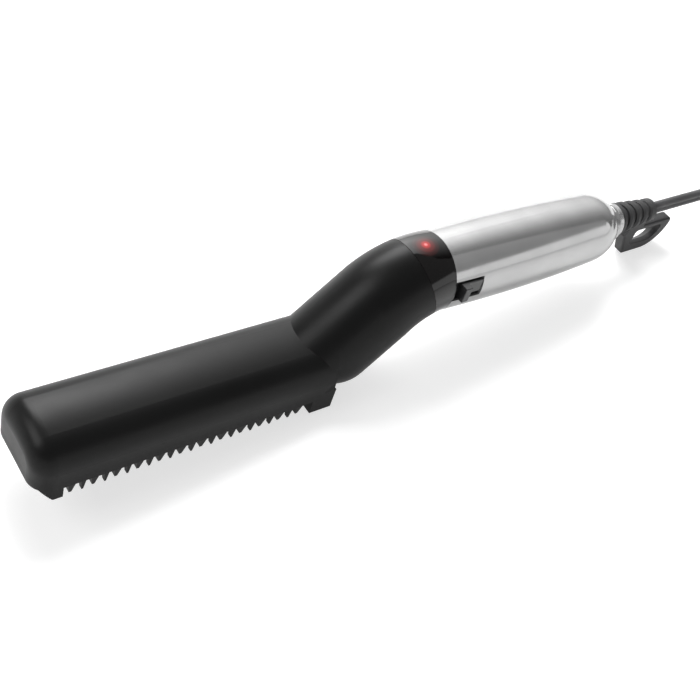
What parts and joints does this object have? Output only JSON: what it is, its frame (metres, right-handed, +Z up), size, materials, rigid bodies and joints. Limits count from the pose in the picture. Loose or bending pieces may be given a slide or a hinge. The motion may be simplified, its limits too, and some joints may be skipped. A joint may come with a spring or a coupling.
{
  "type": "beard straightening brush",
  "caption": "Corded beard straightening brush with a heated comb head on a bent neck, round bright handle, slide switch, lit ring and swivelling cord with hanging loop.",
  "frame": {"origin": "middle of the brush without its cord, on the table it lies on", "axes": "+X from the tip of the head towards the cord, +Y across the head, away from the switch, +Z up from the table"},
  "size_m": [0.504, 0.0552, 0.0512],
  "materials": {
    "head_plastic": "soft satin black moulding",
    "comb_plastic": "heat-resistant black moulding",
    "heater_metal": "dark anodised die casting",
    "clamp_metal": "plain pressed sheet",
    "ceramic": "fired ceramic",
    "film": "amber insulating film",
    "mica": "pressed mica",
    "fuse_metal": "drawn can",
    "screw_steel": "blackened steel",
    "smoked_plastic": "polished smoked plastic",
    "led_red": "clear red dome",
    "chassis_plastic": "plain moulding",
    "board_green": "solder mask",
    "component_plastic": "moulded cases",
    "handle_chrome": "bright satin plating",
    "relief_rubber": "dull black elastomer",
    "brass": "turned",
    "spring_steel": "spring temper",
    "switch_plastic": "fine-textured black moulding",
    "wire_insulation": "silicone sleeve",
    "cord_jacket": "soft black jacket",
    "tie_strap": "woven hook-and-loop strap",
    "plug_plastic": "moulded plug body",
    "pin_nickel": "nickel plated"
  },
  "bodies": {
    "brush": {"head_shell": "head_plastic", "neck_cover": "head_plastic", "comb_frame": "comb_plastic", "heater_plate": "heater_metal", "ptc_heaters": "ceramic", "insulating_film": "film", "heater_clamp": "clamp_metal", "heat_shield": "mica", "thermal_fuse": "fuse_metal", "comb_screws": "screw_steel", "neck_screws": "screw_steel", "heater_leads": "wire_insulation", "light_ring": "smoked_plastic", "status_led": "led_red", "inner_chassis": "chassis_plastic", "circuit_board": "board_green", "board_parts": "component_plastic", "slide_switch": "component_plastic", "switch_bezel": "switch_plastic", "handle_barrel": "handle_chrome", "tail_collar": "handle_chrome", "swivel_block": "chassis_plastic", "swivel_contacts": "spring_steel", "mains_leads": "wire_insulation", "cord": "cord_jacket", "cord_hank": "cord_jacket", "cord_tie": "tie_strap", "plug_lead": "cord_jacket", "plug_body": "plug_plastic", "plug_pins": "pin_nickel"},
    "switch": {"switch_knob": "switch_plastic", "switch_lever": "switch_plastic"},
    "swivel": {"cord_relief": "relief_rubber", "swivel_clip": "spring_steel", "swivel_pin": "brass"}
  },
  "joints": [
    {"name": "switch_slide", "type": "slide", "parent": "brush", "child": "switch", "axis": [-0.9945, 0, 0.1049], "range_m": [0, 0.0016]},
    {"name": "cord_swivel", "type": "hinge", "parent": "brush", "child": "swivel", "pos_m": [0.10725, 0.0006, 0.02514], "axis": [0.9945, 0, -0.1049], "continuous": true}
  ]
}
